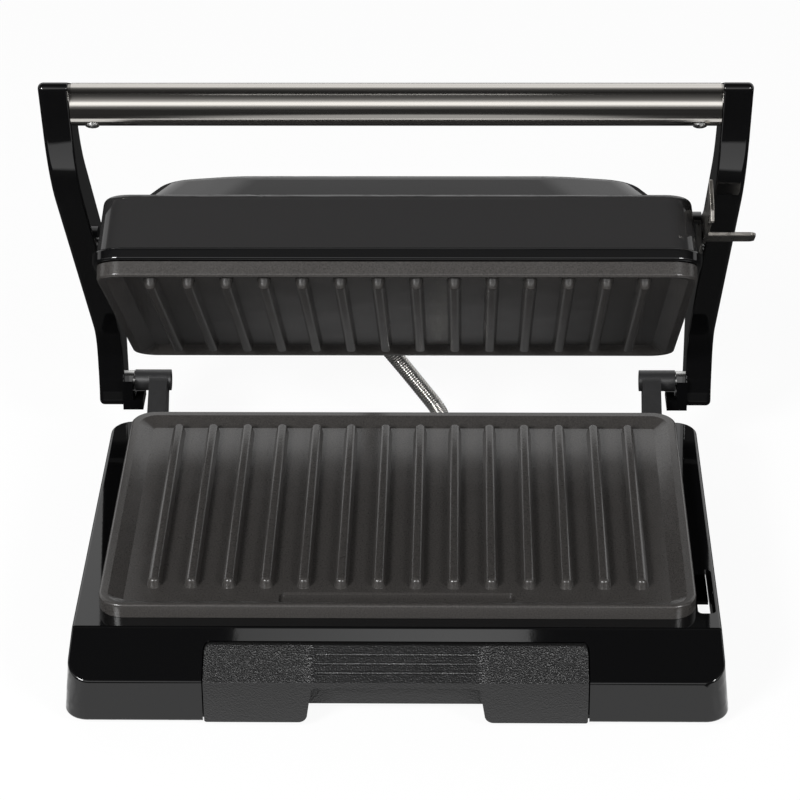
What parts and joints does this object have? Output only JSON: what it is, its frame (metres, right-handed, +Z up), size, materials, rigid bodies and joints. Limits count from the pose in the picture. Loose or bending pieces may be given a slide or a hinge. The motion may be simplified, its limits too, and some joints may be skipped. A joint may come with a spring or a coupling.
{
  "type": "panini press",
  "caption": "Contact grill with ribbed upper and lower plates, a floating lid on swing arms with a bar handle, a side latch and a pull-out drip tray.",
  "frame": {"origin": "on the table, under the middle of the base housing", "axes": "+X to the user's right, +Y away from the user towards the hinge, +Z up"},
  "size_m": [0.2951, 0.2445, 0.2523],
  "materials": {
    "gloss_shell": "polished black",
    "grained_plastic": "moulded grain, black",
    "plain_plastic": "satin black",
    "foot_rubber": "matte black",
    "coated_plate": "dark non-stick coating on cast aluminium",
    "handle_steel": "brushed along its length",
    "latch_steel": "plain pressed sheet",
    "pin_steel": "bright plated",
    "conduit_steel": "bright close-wound wire",
    "ferrule_steel": "satin black bush",
    "bracket_grey": "semi-matte dark grey",
    "shield_sheet": "bright folded sheet",
    "element_sheath": "dull sheath",
    "lead_sleeve": "black sleeve"
  },
  "bodies": {
    "base": {"base_housing": "gloss_shell", "base_bottom_cover": "plain_plastic", "base_cover_screws": "pin_steel", "rubber_feet": "foot_rubber", "lower_grill_plate": "coated_plate", "lower_heating_element": "element_sheath", "lower_heat_shield": "shield_sheet", "lower_plate_screws": "pin_steel", "thermostat": "shield_sheet", "thermal_fuse": "shield_sheet", "terminal_block": "plain_plastic", "cord_inlet": "plain_plastic", "right_hinge_bracket": "bracket_grey", "left_hinge_bracket": "bracket_grey", "hinge_bracket_screws": "pin_steel", "base_conduit_ferrule": "ferrule_steel", "wire_conduit": "conduit_steel", "lid_leads": "lead_sleeve"},
    "arms": {"right_arm": "gloss_shell", "left_arm": "gloss_shell", "right_hinge_pin": "pin_steel", "left_hinge_pin": "pin_steel", "right_lid_pivot_pin": "pin_steel", "left_lid_pivot_pin": "pin_steel", "handle_tube": "handle_steel", "handle_screws": "pin_steel"},
    "lid": {"lid_shell": "gloss_shell", "lid_flange": "gloss_shell", "lid_screws": "pin_steel", "upper_grill_plate": "coated_plate", "upper_heating_element": "element_sheath", "upper_heat_shield": "shield_sheet", "upper_plate_screws": "pin_steel", "lid_conduit_ferrule": "ferrule_steel", "latch_boss": "gloss_shell", "latch_rivet": "pin_steel"},
    "latch": {"latch_lever": "latch_steel"},
    "tray": {"drip_tray": "grained_plastic"}
  },
  "joints": [
    {"name": "arm_hinge", "type": "hinge", "parent": "base", "child": "arms", "pos_m": [0, 0.127, 0.042], "axis": [-1, 0, 0], "range_deg": [-39.7, 65], "deforming": ["wire_conduit", "lid_leads"]},
    {"name": "lid_tilt", "type": "hinge", "parent": "arms", "child": "lid", "pos_m": [0, 0.0642, 0.14483], "axis": [-1, 0, 0], "range_deg": [-2, 2], "deforming": ["wire_conduit", "lid_leads"]},
    {"name": "latch_swing", "type": "hinge", "parent": "lid", "child": "latch", "pos_m": [0.1294, 0.02177, 0.17356], "axis": [1, 0, 0], "range_deg": [0, 90]},
    {"name": "tray_slide", "type": "slide", "parent": "base", "child": "tray", "axis": [0, -1, 0], "range_m": [0, 0.1]}
  ]
}
